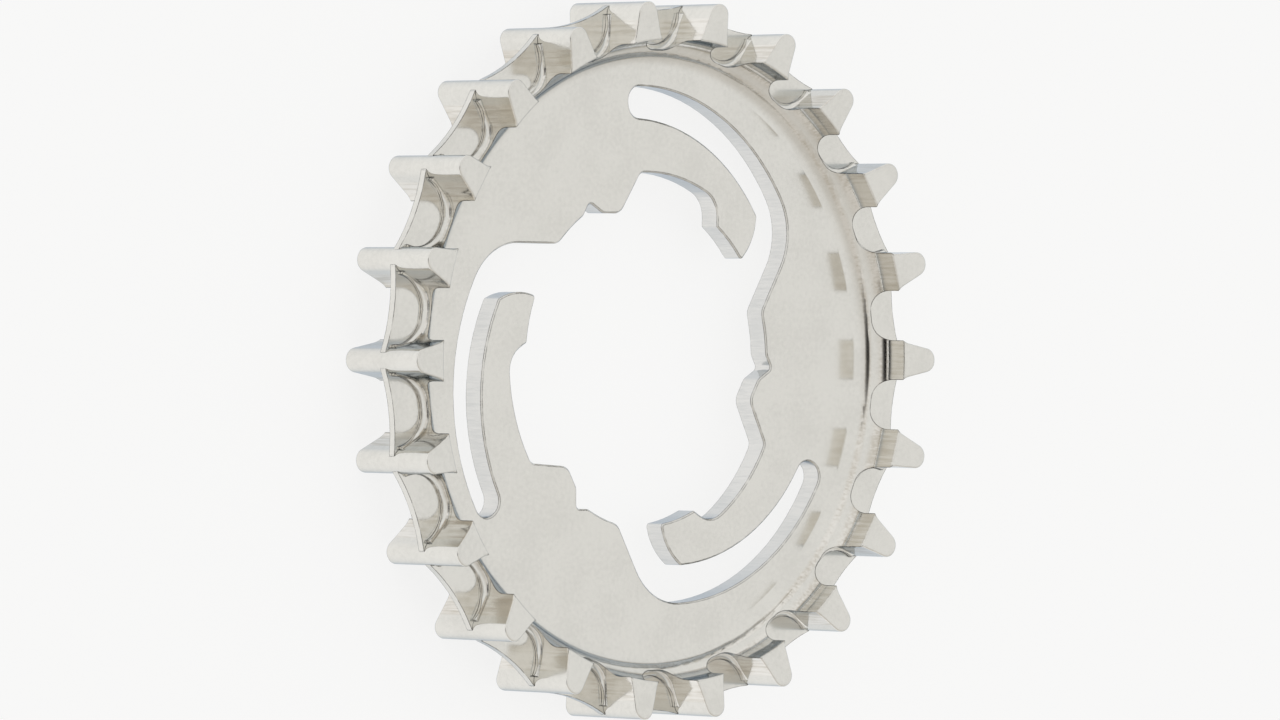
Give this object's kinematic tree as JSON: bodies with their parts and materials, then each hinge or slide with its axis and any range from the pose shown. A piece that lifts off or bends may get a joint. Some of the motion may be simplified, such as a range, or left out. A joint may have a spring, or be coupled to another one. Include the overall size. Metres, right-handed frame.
{
  "type": "belt drive sprocket",
  "caption": "Stainless steel belt sprocket: a toothed ring with a thin centre fin round a flat plate, whose bore has keys and spring arms that grip a hub.",
  "frame": {"origin": "on the axis, level with the back ends of the teeth that the sprocket lies on", "axes": "+Z along the axis, out of the front face; +X through the middle of a tooth"},
  "size_m": [0.0758, 0.075, 0.011],
  "materials": {
    "stainless_steel": "satin"
  },
  "bodies": {
    "root": {"belt_sprocket": "stainless_steel"}
  },
  "joints": []
}
